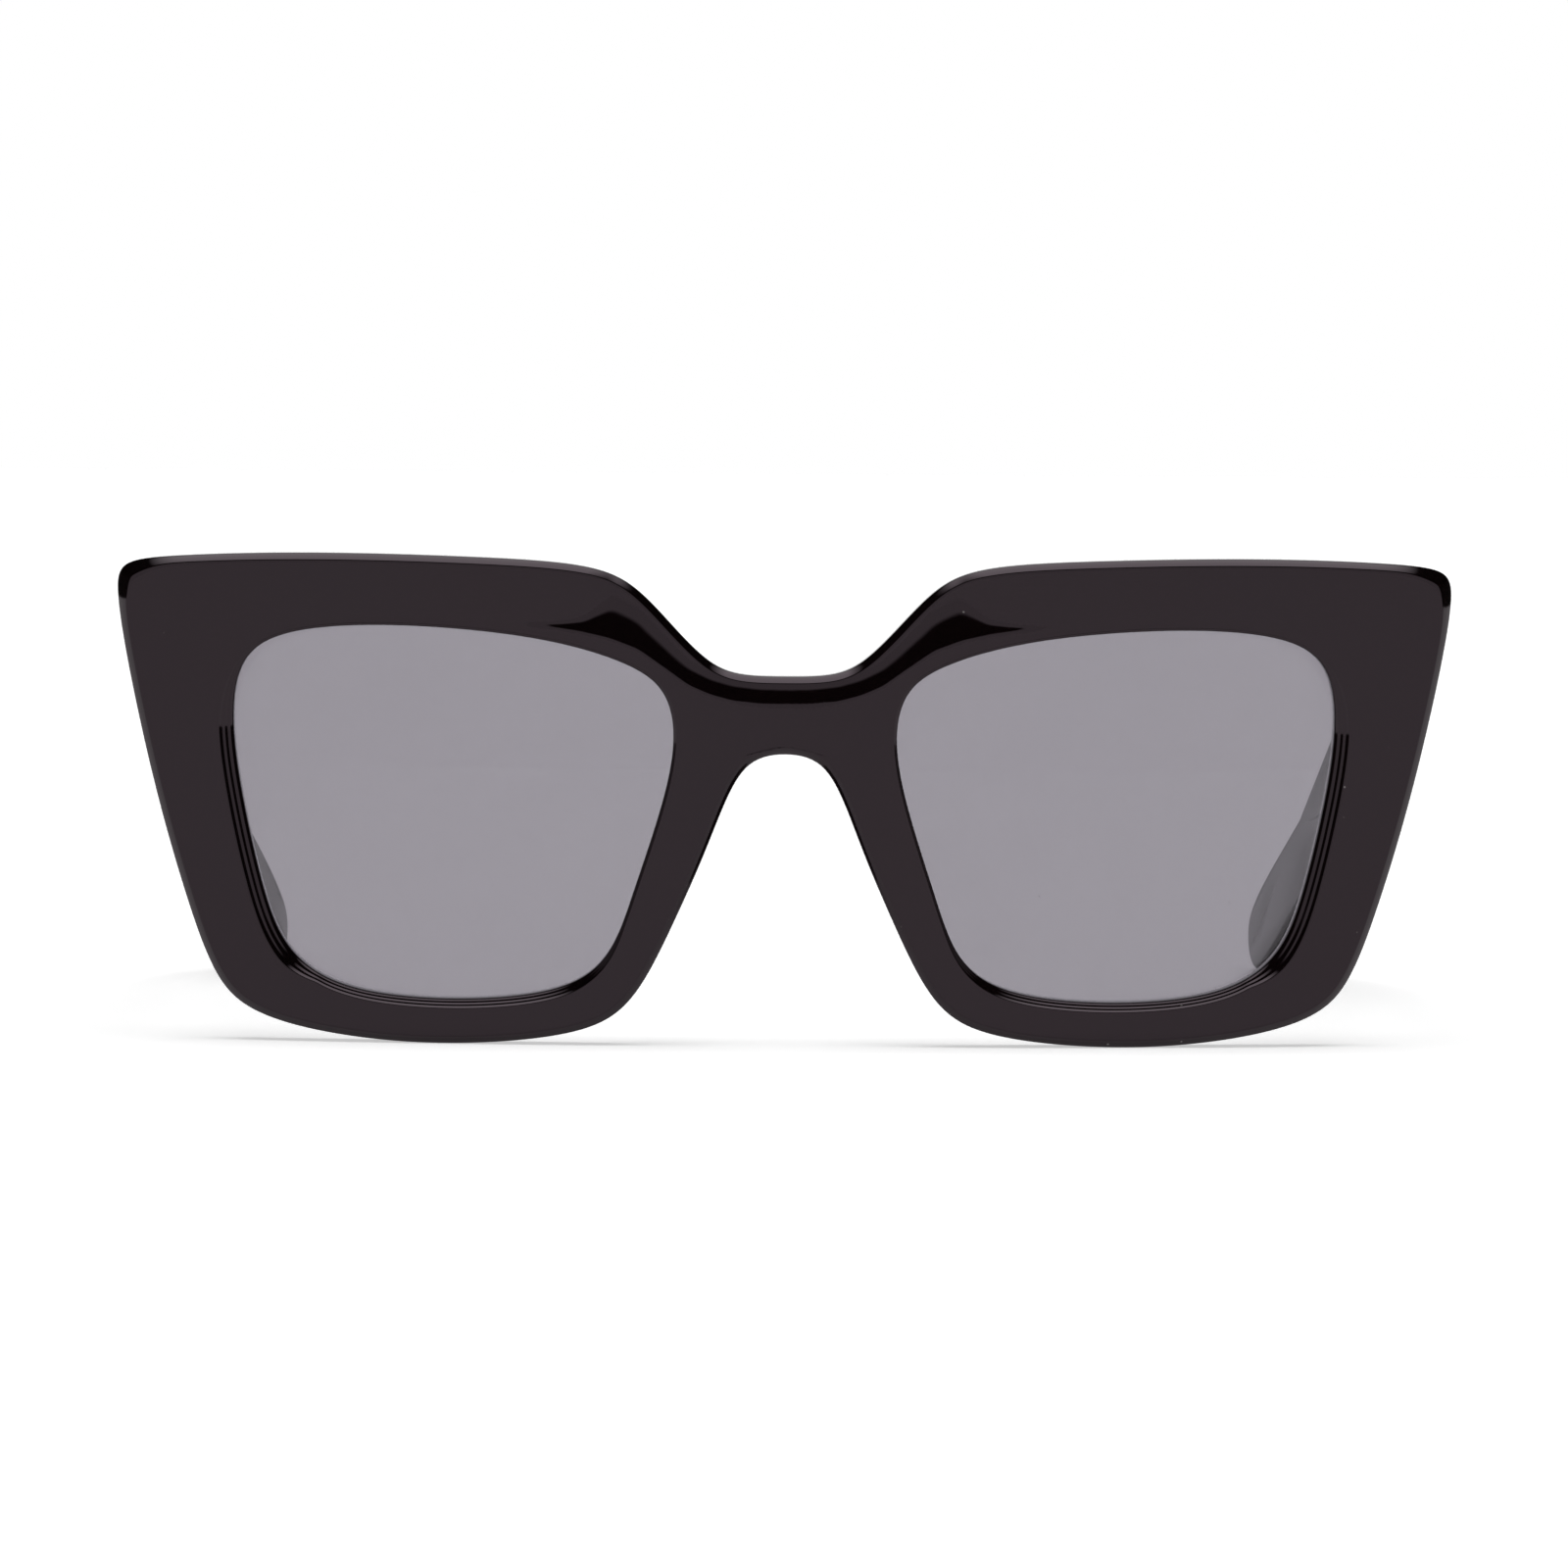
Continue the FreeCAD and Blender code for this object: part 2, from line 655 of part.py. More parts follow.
# The outline starts on the stretch that the butt cutter takes off, so no seam stays on the piece.
templePoles = bottomPoles[-2:] + topPoles + bottomPoles[:-2]
templeSide = splineSketch("temple_side", templePoles, sideTurn)
templeSideBlock = extrusion("temple_side_block", templeSide, Vector(1, 0, 0), "20", "10")
# Plan view: the inner face leaves the hinge straight, bows out a little and turns in past the
# ear bend. Each pole is a share of the temple's reach and a share of the tip's turn.
turnShares = [
    (-0.26, 0), (-0.2, 0), (-0.13, 0), (0.05, 0), (0.25, -0.04), (0.45, -0.17), (0.607, -0.30),
    (0.70, -0.36), (0.80, 0.0), (0.88, 0.45), (0.96, 0.91), (1.04, 1.30), (1.12, 1.68),
    (1.2, 2.06), (1.3, 2.5),
]


def planPole(along, turned, thick):
    return (f"sizes.temple_inset - {turned} * sizes.tip_turn + {thick}",
            f"{along} * sizes.temple_reach")


innerPoles = [planPole(along, turned, "0") for along, turned in turnShares]
outerPoles = [
    planPole(along, turned,
             f"sizes.temple_thick + {along} * (sizes.tip_thick - sizes.temple_thick)")
    for along, turned in turnShares
]
templePlan = splineSketch("temple_plan", innerPoles + outerPoles[::-1], flatTurn)
templePlanBlock = extrusion("temple_plan_block", templePlan, Vector(0, 0, 1), "70", "10")
templeBlank = common("temple_blank", templeSideBlock, templePlanBlock)
buttCutter = box("butt_cutter", ("-30", "-sizes.hinge_back + sizes.butt_gap - 60", "-20"),
                 ("60", "60", "100"))
templeSquare = cut("temple_square", templeBlank, buttCutter)


def runsAlong(edge):
    """True for the long edges between the temple's sides and its top and bottom."""
    return edge.Length > sizes.temple_reach


templeBevelled = softened(
    "Part::Chamfer", "temple_bevelled", templeSquare, sizes.temple_bevel, runsAlong
)
templePocket = box(
    "temple_leaf_pocket",
    ("sizes.temple_inset - 2", "-6", templePlateCorner[2]),
    ("sizes.plate_thick + 2", f"6 + {templePlateY} + {templePlateSpan[1]}", templePlateSpan[2]),
)
templeTools = joined("temple_tools", [templePocket] + templeScrewHoles)
leftTemple = cut("left_temple", templeBevelled, templeTools)
leftTemple.Placement = hingeFrame

# ---- nose pad ------------------------------------------------------------------------------------------
# A rounded bar that leans with the nose's side, its back edge rounded over; the front's back face
# cuts its foot.
padBar = feature(
    "Part::Box", "pad_bar", Length="2 * sizes.pad_half_wide",
    Width="sizes.pad_deep + sizes.front_thick", Height="2 * sizes.pad_half_tall",
)
padTurn = Rotation(Vector(0, 1, 0), -sizes.pad_lean)
padBar.Placement = Placement(
    Vector(sizes.bridge_gap / 2 + sizes.pad_outset, sizes.wrap_radius - fits.eye_run - 2.4,
           fits.eye_middle - sizes.pad_drop)
    + padTurn.multVec(Vector(-sizes.pad_half_wide, 0, -sizes.pad_half_tall)),
    padTurn,
)
padEnded = softened(
    "Part::Fillet", "pad_ended", padBar, 0.94 * sizes.pad_half_wide,
    lambda edge: abs(edge.tangentAt(edge.FirstParameter).y) > 0.99,
)
doc.recompute()
padBackY = padEnded.Shape.BoundBox.YMax
padBlank = softened(
    "Part::Fillet", "pad_blank", padEnded, 0.75 * sizes.pad_half_wide,
    lambda edge: abs(edgeMiddle(edge).y - padBackY) < 0.01,
)
behindFront = cylinder(
    "behind_front", ("0", "sizes.wrap_radius", "-10"),
    "sizes.wrap_radius - sizes.front_thick", "fits.front_height + 20",
)
leftPad = common("left_nose_pad", padBlank, behindFront)

# ---- the finished pieces ---------------------------------------------------------------------------------
leftPieces = [leftLens, leftPad, leftTemple, leftFrontLeaf, leftTempleLeaf, leftHingeScrew]
leftPieces += leafScrews
rightPieces = [mirrored(piece.Name.replace("left_", "right_"), piece) for piece in leftPieces]
pieces = [frontFrame] + leftPieces + rightPieces
doc.recompute()

# The whole part is moved so that the middle of its depth is at the origin and it stands at zero.
whole = Part.makeCompound([frontFrame.Shape, leftTemple.Shape]).optimalBoundingBox(True, False)
shift = Vector(0, -(whole.YMin + whole.YMax) / 2, -whole.ZMin)
for piece in [frontFrame] + leftPieces:
    piece.Placement = Placement(shift, Rotation()).multiply(piece.Placement)
doc.recompute()

for thing in doc.Objects:
    if "Invalid" in thing.State or "Error" in thing.State:
        raise RuntimeError(f"{thing.Label} did not build")
for piece in pieces:
    if piece.Shape.isNull() or not piece.Shape.isValid() or not piece.Shape.Solids:
        raise RuntimeError(f"{piece.Label} is not a valid solid")

os.makedirs("parts", exist_ok=True)
for piece in pieces:
    piece.Shape.exportStep(f"parts/{piece.Label}.step")
    print(piece.Label, len(piece.Shape.Solids), round(piece.Shape.Volume, 2))
print("hinge axis", fits.hinge_x, fits.hinge_y + shift.y, "shift", shift.y, shift.z)
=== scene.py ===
import bpy
import math
import numpy as np
from mathutils import Matrix, Vector


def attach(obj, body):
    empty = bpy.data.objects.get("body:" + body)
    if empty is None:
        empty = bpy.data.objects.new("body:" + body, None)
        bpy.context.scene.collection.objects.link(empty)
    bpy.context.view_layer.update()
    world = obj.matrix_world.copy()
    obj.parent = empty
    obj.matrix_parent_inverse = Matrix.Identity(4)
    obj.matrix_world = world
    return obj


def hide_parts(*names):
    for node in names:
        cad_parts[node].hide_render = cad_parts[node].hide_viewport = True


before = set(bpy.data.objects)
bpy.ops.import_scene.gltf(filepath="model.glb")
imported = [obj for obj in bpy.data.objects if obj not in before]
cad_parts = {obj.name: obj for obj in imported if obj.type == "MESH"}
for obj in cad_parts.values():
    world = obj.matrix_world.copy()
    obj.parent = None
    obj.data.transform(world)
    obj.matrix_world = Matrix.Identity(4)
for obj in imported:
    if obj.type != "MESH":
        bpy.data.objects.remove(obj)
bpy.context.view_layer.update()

millimetre = 0.001

# where the drawing's own millimetres lie in the frame
backShift = -72.689   # the front's foremost line, in the frame's Y
floorShift = 0.03     # the outlines' lowest point lies this far under the frame's floor
toFrame = np.array([0.0, backShift, floorShift])


def cubicWeights(t):
    # what each of four neighbouring poles counts for at t, in sixths, on a uniform cubic B-spline
    return [(1 - t) ** 3, 3 * t ** 3 - 6 * t ** 2 + 4, -3 * t ** 3 + 3 * t ** 2 + 3 * t + 1, t ** 3]


def splineLoop(poles, perPole=60):
    # closed cubic B-spline: each stretch is the weighted sum of four poles
    poles = np.asarray(poles, float)
    t = (np.arange(perPole) / perPole)[:, None, None]
    sides = [np.roll(poles, 1 - k, axis=0)[None] for k in range(4)]
    loop = sum(weight * side for weight, side in zip(cubicWeights(t), sides)) / 6
    return loop.transpose(1, 0, 2).reshape(-1, 2)


def runLength(points):
    # the distance walked along a line of points to each of them
    return np.concatenate([[0], np.cumsum(np.hypot(*np.diff(points, axis=0).T))])


def pointsAt(at, run, points):
    # the line's points at the given distances, straight between its own
    return np.column_stack([np.interp(at, run, points[:, k]) for k in (0, 1)])


def evenLoop(loop, count):
    # equal steps of arc length round a closed loop
    closed = np.vstack([loop, loop[:1]])
    run = runLength(closed)
    return pointsAt(np.arange(count) / count * run[-1], run, closed)


def outwardNormals(loop):
    # the loop's tangent turned a quarter, pointed away from the inside
    tangent = np.roll(loop, -1, axis=0) - np.roll(loop, 1, axis=0)
    tangent /= np.hypot(*tangent.T)[:, None]
    x, z = loop.T
    area = np.sum(x * np.roll(z, -1) - np.roll(x, -1) * z)
    side = 1.0 if area > 0 else -1.0
    return np.column_stack([tangent[:, 1], -tangent[:, 0]]) * side


def smoothStep(low, high, value):
    # 0 at low, 1 at high and 3 t squared - 2 t cubed between them
    t = np.clip((value - low) / (high - low), 0, 1)
    return t * t * (3 - 2 * t)


def makePiece(name, points, faces, material, body, nodes, sharpAngle=40):
    # points in the drawing's millimetres; doubles are merged and normals turned outward
    mesh = bpy.data.meshes.new(name)
    mesh.from_pydata(((np.asarray(points) + toFrame) * millimetre).tolist(), [], faces)
    piece = bpy.data.objects.new(name, mesh)
    bpy.context.scene.collection.objects.link(piece)
    bpy.context.view_layer.objects.active = piece
    for other in bpy.context.selected_objects:
        other.select_set(False)
    piece.select_set(True)
    bpy.ops.object.mode_set(mode="EDIT")
    bpy.ops.mesh.select_all(action="SELECT")
    bpy.ops.mesh.remove_doubles(threshold=1e-6)
    bpy.ops.mesh.normals_make_consistent(inside=False)
    bpy.ops.object.mode_set(mode="OBJECT")
    bpy.ops.object.shade_smooth_by_angle(angle=math.radians(sharpAngle))
    mesh.materials.append(material)
    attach(piece, body)
    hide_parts(*nodes)
    return piece


def mirrorHalf(points, faces):
    # the same half on the other side of x = 0, its faces turned round
    other = np.array(points) * [-1, 1, 1]
    count = len(points)
    return np.vstack([points, other]), faces + [[count + k for k in reversed(f)] for f in faces]


def ringFaces(rings, count):
    # quads between each closed ring of points and the next
    k, i = np.meshgrid(np.arange(rings - 1), np.arange(count), indexing="ij")
    a, n = k * count, (i + 1) % count
    return np.stack([a + i, a + n, a + count + n, a + count + i], axis=-1).reshape(-1, 4).tolist()


def sweptFaces(rings, count):
    # the quads between the rings and a cap on each end
    last = (rings - 1) * count
    return ringFaces(rings, count) + [list(range(count))[::-1], list(range(last, last + count))]


def quarterRound(radius, start, direction, steps=6):
    # levels of a rounded edge: inset falls from radius to 0 while the height moves on by radius
    turn = np.linspace(0, np.pi / 2, steps)
    return [(radius * (1 - math.sin(a)), start + direction * radius * (1 - math.cos(a))) for a in turn]


def prism(outline, levels):
    # a closed outline in (u, v) swept through levels of (inset, height w): one ring per level,
    # capped at both ends
    normal = outwardNormals(outline)
    rings = [np.column_stack([outline - normal * inset, np.full(len(outline), w)]) for inset, w in levels]
    return np.vstack(rings), sweptFaces(len(rings), len(outline))


def roundedCorners(corners, radius, steps):
    # a polygon whose corners are replaced by arcs that touch both sides
    corners = np.asarray(corners, float)
    out = []
    for k, corner in enumerate(corners):
        before, after = corners[k - 1] - corner, corners[(k + 1) % len(corners)] - corner
        before, after = before / np.linalg.norm(before), after / np.linalg.norm(after)
        spread = np.arccos(np.clip(before @ after, -1, 1))
        reach = radius / math.tan(spread / 2)
        middle = corner + (before + after) / np.linalg.norm(before + after) * radius / math.sin(spread / 2)
        first, last = corner + before * reach - middle, corner + after * reach - middle
        a0, a1 = math.atan2(first[1], first[0]), math.atan2(last[1], last[0])
        a1 = a0 + (a1 - a0 + math.pi) % (2 * math.pi) - math.pi
        turn = np.linspace(a0, a1, steps)
        out.append(middle + radius * np.column_stack([np.cos(turn), np.sin(turn)]))
    return np.vstack(out)


frontShape = {
    "wrapRadius": 300.0, "thickness": 5.4, "edgeRound": 0.85, "backRound": 0.6, "wallMiddle": 3.0,
    "wing": (72.4, 51.6), "wingRound": 0.75, "wingSpread": 3.2,
    # shares of the edge round: inset from the outline, depth under the face
    "edgeProfile": [(0.93, 0.006), (0.86, 0.03), (0.80, 0.075), (0.44, 0.42), (0.09, 0.78), (0.035, 0.86),
                    (0.006, 0.94), (0.0, 1.0)],
    "eyeCentre": (36.15, 25.25), "eyeHalf": (23.95, 20.4), "bridgeHalf": 12.2,
    "sideReach": 36.95, "browReach": 28.0, "bottomReach": 25.25,
    "bridgeTop": 40.25, "archTop": 32.05, "frontHeight": 53.25,
    "faceColumns": 36, "backColumns": 9, "middleRows": 22, "fairing": 14,
    # rays to a millimetre of outline; how many more near the facet and the wing, bounded at x, z
    "rays": 1.7, "facetRays": (3.0, 31, 36), "wingRays": (2.0, 67, 47),
}
eyeShares = [
    (-1.02, 0.35), (-0.985, 0.66), (-0.80, 0.805), (-0.45, 0.925), (0.0, 0.985),
    (0.45, 1.0), (0.82, 0.95), (0.99, 0.79), (1.015, 0.45), (0.96, 0.05),
    (0.88, -0.36), (0.78, -0.74), (0.55, -0.94), (0.2, -1.005), (-0.2, -1.005),
    (-0.55, -0.94), (-0.735, -0.76), (-0.825, -0.42), (-0.935, -0.04),
]
bridgeShares = [(0.37, 0.0), (0.655, 0.075), (0.98, 0.385), (1.27, 0.69), (1.56, 0.875)]
browShares = [
    (-0.30, 0.978), (-0.03, 0.992), (0.27, 1.002), (0.565, 1.0), (0.81, 0.986),
    (0.95, 0.97), (1.0, 0.93), (1.0, 0.83), (0.975, 0.617), (0.92, 0.278),
]
bottomShares = [
    (0.855, -0.068), (0.775, -0.444), (0.72, -0.66), (0.655, -0.82), (0.535, -0.91),
    (0.36, -0.968), (0.13, -1.004), (-0.11, -1.0), (-0.33, -0.964),
]
noseShares = [(1.52, -0.896), (1.245, -0.742), (0.985, -0.476), (0.72, -0.188), (0.54, 0.05)]


def eyeLoop(growth=0.0):
    # the lens opening: shares of its half sizes about its centre
    s = frontShape
    half = np.array(s["eyeHalf"]) + growth
    return splineLoop(np.array(s["eyeCentre"]) + np.array(eyeShares) * half)


def outlineHalf():
    # the outer outline from the middle of the bridge's top, round the rim, to the arch's middle
    s = frontShape
    cx, cz = s["eyeCentre"]
    rise = s["frontHeight"] - s["bridgeTop"]
    right = [(a * s["bridgeHalf"], s["bridgeTop"] + b * rise) for a, b in bridgeShares]
    right += [(cx + a * s["sideReach"], cz + b * s["browReach"]) for a, b in browShares]
    right += [(cx + a * s["sideReach"], cz + b * s["bottomReach"]) for a, b in bottomShares]
    right += [(a * s["bridgeHalf"], cz + b * s["bottomReach"]) for a, b in noseShares]
    right += [(0.345 * s["bridgeHalf"], s["archTop"] - 0.8)]
    left = [(-x, z) for x, z in reversed(right)]
    loop = splineLoop([(0, s["bridgeTop"])] + right + [(0, s["archTop"])] + left)
    return loop[: (len(right) + 1) * 60 + 1]


def wrapDepth(x, depth):
    # distance behind the foremost line of a face that lies depth under the curved front
    radius = frontShape["wrapRadius"]
    return radius - np.sqrt((radius - depth) ** 2 - x ** 2)


facet = {
    "creaseX": [0.0, 2.9, 5.9, 8.4, 10.7, 13.5, 16.3, 19.3, 22.5, 26.0, 29.5, 36.0],
    "creaseZ": [37.2, 37.25, 37.6, 38.3, 39.3, 41.3, 43.2, 44.3, 45.0, 45.5, 45.9, 46.4],
    "bandX": [0.0, 8.0, 12.0, 15.0, 17.0, 19.0, 20.5, 22.0, 24.0, 26.0, 28.0, 36.0],
    "bandWide": [1.75, 1.75, 1.95, 2.6, 3.2, 3.35, 2.3, 1.2, 0.65, 0.25, 0.0, 0.0],
    "slope": 0.30, "softness": 0.45,
}


def facetRecess(x, z):
    # past the crease the surface falls back at a constant slope over a band and then levels off:
    # depth = slope x (distance - the smoothed part of it that lies beyond the band)
    f = facet
    ax = np.abs(x)
    fine = np.linspace(0, 36, 361)
    kernel = np.hanning(23)
    kernel /= kernel.sum()
    smooth = [np.convolve(np.pad(np.interp(fine, f[a], f[b]), 11, mode="reflect"), kernel, mode="valid")
              for a, b in (("creaseX", "creaseZ"), ("bandX", "bandWide"))]
    lean = np.interp(ax, fine, np.gradient(smooth[0], fine))
    line, band = np.interp(ax, fine, smooth[0]), np.interp(ax, fine, smooth[1])
    distance = np.clip((z - line) / np.sqrt(1 + lean ** 2), 0, None)
    start, spread = band * (1 - f["softness"]), 2 * f["softness"] * band + 1e-6
    u = np.clip((distance - start) / spread, 0, 1)
    beyond = spread * (u ** 3 - u ** 4 / 2) + np.clip(distance - start - spread, 0, None)
    return f["slope"] * (distance - beyond)


opening = {
    "sideWide": 1.6, "sideDeep": 1.25, "lowWide": 0.95, "lowDeep": 0.8, "plainWide": 0.30, "plainDeep": 0.26,
    # the stepped bevel from the lens out: shares of its width and of its depth
    "out": [0.0, 0.03, 0.22, 0.27, 0.38, 0.43, 0.58, 0.63, 0.74, 0.79, 0.96, 1.0, 1.05],
    "down": [1.0, 0.92, 0.72, 0.685, 0.665, 0.63, 0.42, 0.385, 0.365, 0.33, 0.05, 0.015, 0.0],
}


def bevelShare(x, z):
    # how much of the wide bevel there is: full down the temple side, less along the bottom,
    # none along the brow and the nose
    cx, cz = frontShape["eyeCentre"]
    turn = np.degrees(np.arctan2(z - cz, x - cx))
    side = smoothStep(42, 20, turn) * smoothStep(-62, -40, turn)
    low = smoothStep(-150, -120, turn) * smoothStep(-30, -55, turn)
    return side, low


def bevelSize(points):
    # the bevel's width and depth beside each point of the opening: the plain size, or more by the
    # share of the side or of the bottom, whichever is larger
    o = opening
    shares = bevelShare(points[:, 0], points[:, 1])
    sizes = [(o["plainWide"], (o["sideWide"], o["lowWide"])), (o["plainDeep"], (o["sideDeep"], o["lowDeep"]))]
    return [np.maximum(*[plain + share * (most - plain) for share, most in zip(shares, wide)])
            for plain, wide in sizes]


def outerRays():
    # the outline's points and outward normals, closer together near the facet and the wing
    s = frontShape
    half = outlineHalf()
    tangent = np.gradient(half, axis=0)
    tangent[0], tangent[-1] = (1, 0), (-1, 0)   # square to the middle of the bridge
    tangent /= np.hypot(*tangent.T)[:, None]
    outward = np.column_stack([-tangent[:, 1], tangent[:, 0]])
    x, z = ((half[1:] + half[:-1]) / 2).T
    more, toX, overZ = s["facetRays"]
    busy = s["rays"] + more * ((x < toX) & (z > overZ))
    more, fromX, overZ = s["wingRays"]
    busy = busy + more * ((x > fromX) & (z > overZ))
    load = np.concatenate([[0], np.cumsum(np.hypot(*np.diff(half, axis=0).T) * busy)])
    at = np.linspace(0, load[-1], int(load[-1]))
    normal = pointsAt(at, load, outward)
    return pointsAt(at, load, half), normal / np.hypot(*normal.T)[:, None]


def eyeRays(rim):
    # the opening's point and outward normal in the direction, from the eye's centre, of each
    # point of the rim; a moving average of the directions keeps one ray from crossing the next
    s = frontShape
    cx, cz = s["eyeCentre"]
    angle = np.unwrap(np.arctan2(rim[:, 1] - cz, rim[:, 0] - cx))
    reach = s["fairing"]
    around = np.concatenate([angle[-reach:] + 2 * np.pi, angle, angle[:reach] - 2 * np.pi])
    angle = np.convolve(around, np.ones(2 * reach + 1) / (2 * reach + 1), mode="valid")
    eye = eyeLoop()
    turn = np.arctan2(eye[:, 1] - cz, eye[:, 0] - cx)
    order = np.argsort(turn)
    onEye = np.column_stack([np.interp(angle, turn[order], values[order], period=2 * np.pi)
                             for values in (*eye.T, *outwardNormals(eye).T)])
    inner, normal = onEye[:, :2], onEye[:, 2:]
    return inner, normal / np.hypot(*normal.T)[:, None]


def frontFaces(rows, count, bridgeFrom, wallFrom, wallTo):
    # quads between each ray and the next; the rays up the middle of the bridge have no wall,
    # because the two halves meet there
    i, j = np.meshgrid(np.arange(rows), np.arange(count), indexing="ij")
    a, b, n = i * count, (i + 1) % rows * count, (j + 1) % count
    quads = np.stack([a + j, a + n, b + n, b + j], axis=-1)
    return quads[(i < bridgeFrom) | (j < wallFrom) | (j >= wallTo)].tolist()


def buildFront():
    # rays join the opening to the outer outline; each carries, from the lens out and round, the
    # opening's back edge, wall and stepped bevel, the face, the outer edge and wall, and the back
    s, o = frontShape, opening
    outer, normal = outerRays()
    middle = s["middleRows"]
    share = np.linspace(0, 1, middle + 2)[1:-1]
    layers = []

    def outerRing(offset):
        # the outline moved in by offset, closed up the middle of the bridge
        ring = outer - normal * np.reshape(offset, (-1, 1))
        climb = ring[-1, 1] + share * (ring[0, 1] - ring[-1, 1])
        return np.vstack([ring, np.column_stack([np.zeros(middle), climb])])

    def layer(points, depth):
        # points in the plane, set at a depth under the curved front
        y = wrapDepth(points[:, 0], np.broadcast_to(depth, len(points)))
        layers.append(np.column_stack([points[:, 0], y, points[:, 1]]))

    rim = outerRing(0)
    inner, innerNormal = eyeRays(rim)
    width, fall = bevelSize(inner)
    toWing = np.hypot(outer[:, 0] - s["wing"][0], outer[:, 1] - s["wing"][1])
    edge = s["edgeRound"] + s["wingRound"] * np.exp(-(toWing / s["wingSpread"]) ** 2)
    edgeDepth = np.append(edge, np.full(middle, s["edgeRound"]))
    thick, backRound = s["thickness"], s["backRound"]
    turns = np.radians([0, 22, 45, 67, 90])   # round both back edges
    for a in turns[::-1]:
        layer(inner + innerNormal * backRound * (1 - math.cos(a)), thick - backRound * (1 - math.sin(a)))
    layer(inner, s["wallMiddle"])
    for out, down in zip(o["out"], o["down"]):
        layer(inner + innerNormal * (width * out)[:, None], fall * down)
    start = inner + innerNormal * (width * o["out"][-1])[:, None]
    finish = outerRing(edge)
    columns, backs = s["faceColumns"], s["backColumns"]
    for k in np.arange(1, columns + 1) / columns:
        points = start + (finish - start) * k
        layer(points, facetRecess(points[:, 0], points[:, 1]))
    lastFace = len(layers)
    lastRecess = facetRecess(finish[:, 0], finish[:, 1])
    for inset, down in s["edgeProfile"]:
        layer(outerRing(edge * inset), lastRecess + edgeDepth * down)
    layer(rim, (lastRecess + edgeDepth + thick - backRound) / 2)
    for a in turns:
        layer(outerRing(backRound * (1 - math.cos(a))), thick - backRound * (1 - math.sin(a)))
    lastWall = len(layers)
    outerBack, innerBack = outerRing(backRound), inner + innerNormal * backRound
    for k in np.arange(1, backs) / backs:
        layer(outerBack + (innerBack - outerBack) * k, thick)
    points = np.stack(layers, axis=1)
    faces = frontFaces(*points.shape[:2], len(outer) - 1, lastFace - 1, lastWall - 1)
    return mirrorHalf(points.reshape(-1, 3), faces)


endPiece = {
    "inner": 61.6, "low": 31.3, "high": 48.4, "depth": 3.6, "round": 0.8, "padPlane": 14.99, "recess": 0.05,
    "edgeInset": 0.03, "rows": 24, "beforeRound": 0.5,
}


def buildEndPiece():
    # the thick block behind the wing: follows the outline outside, square inside, rounded at the back
    e = endPiece
    half = outlineHalf()
    z = np.linspace(e["low"], e["high"], e["rows"])
    outside = half[(half[:, 0] > 60) & (half[:, 1] > 25) & (half[:, 1] < 50)]
    outside = outside[np.argsort(outside[:, 1])]
    x = np.interp(z, outside[:, 1], outside[:, 0]) - e["edgeInset"]
    outline = np.vstack([[(e["inner"], e["low"])], np.column_stack([x, z]), [(e["inner"], e["high"])]])
    back = e["padPlane"] - e["recess"]
    levels = [(0.0, back - e["depth"]), (0.0, back - e["round"] - e["beforeRound"])]
    levels += quarterRound(e["round"], back, -1)[::-1]
    points, faces = prism(outline, levels)
    return points[:, [0, 2, 1]], faces


lensShape = {
    "radius": 265.0, "thickness": 2.0, "seat": 1.6, "growth": 0.75, "bevel": 0.3, "meanHalf": 22.0,
    "wall": (0.2, 0.8), "rings": 16, "around": 260,
}


def buildLens():
    # two spherical faces on one centre, trimmed to the opening's outline grown into the groove:
    # y = ball's y - square root of (radius squared - distance from the ball's axis squared)
    s, wrap = lensShape, frontShape["wrapRadius"]
    cx, cz = frontShape["eyeCentre"]
    share = 1 - (s["seat"] + s["radius"]) / wrap
    ballX, ballY = cx * share, wrap - math.sqrt(wrap ** 2 - cx ** 2) * share
    rim = evenLoop(eyeLoop(s["growth"]), s["around"])
    centre = np.array([cx, cz])
    radii = (s["radius"], s["radius"] - s["thickness"])

    def face(points, radius):
        away = (points[:, 0] - ballX) ** 2 + (points[:, 1] - cz) ** 2
        return np.column_stack([points[:, 0], ballY - np.sqrt(radius ** 2 - away), points[:, 1]])

    shares = np.linspace(0, 1, s["rings"] + 1)[1:]
    shares[-1] = 1 - s["bevel"] / s["meanHalf"]   # the last ring stops short of the rim
    ahead, behind = [[face(centre + (rim - centre) * k, radius) for k in shares] for radius in radii]
    front, back = [face(rim, radius) for radius in radii]
    rings = ahead + [front + (back - front) * k for k in s["wall"]] + behind[::-1]
    points = np.vstack(rings + [face(centre[None], radius) for radius in radii])
    count, i = len(rim), np.arange(len(rim))
    n, hub, last = (i + 1) % count, len(rings) * count, (len(rings) - 1) * count
    faces = ringFaces(len(rings), count)
    faces += np.column_stack([np.full(count, hub), n, i]).tolist()
    faces += np.column_stack([np.full(count, hub + 1), last + i, last + n]).tolist()
    return points, faces


temple = {
    "hinge": (63.55, 16.492), "tipTurn": 5.2, "inner": 1.4, "thick": 4.5, "tipThick": 3.7,
    "reach": 128.5, "buttLow": 32.4, "buttHeight": 14.0, "tipHeight": 7.5, "buttFace": -1.42,
    "round": 0.95, "buttRound": 0.25, "recess": 0.04, "around": 620, "buttSteps": 22, "roundSteps": 7,
}
turnShares = [
    (-0.26, 0), (-0.2, 0), (-0.13, 0), (0.05, 0), (0.25, -0.04), (0.45, -0.17), (0.607, -0.30),
    (0.70, -0.36), (0.80, 0.0), (0.88, 0.45), (0.96, 0.91), (1.04, 1.30), (1.12, 1.68),
    (1.2, 2.06), (1.3, 2.5),
]


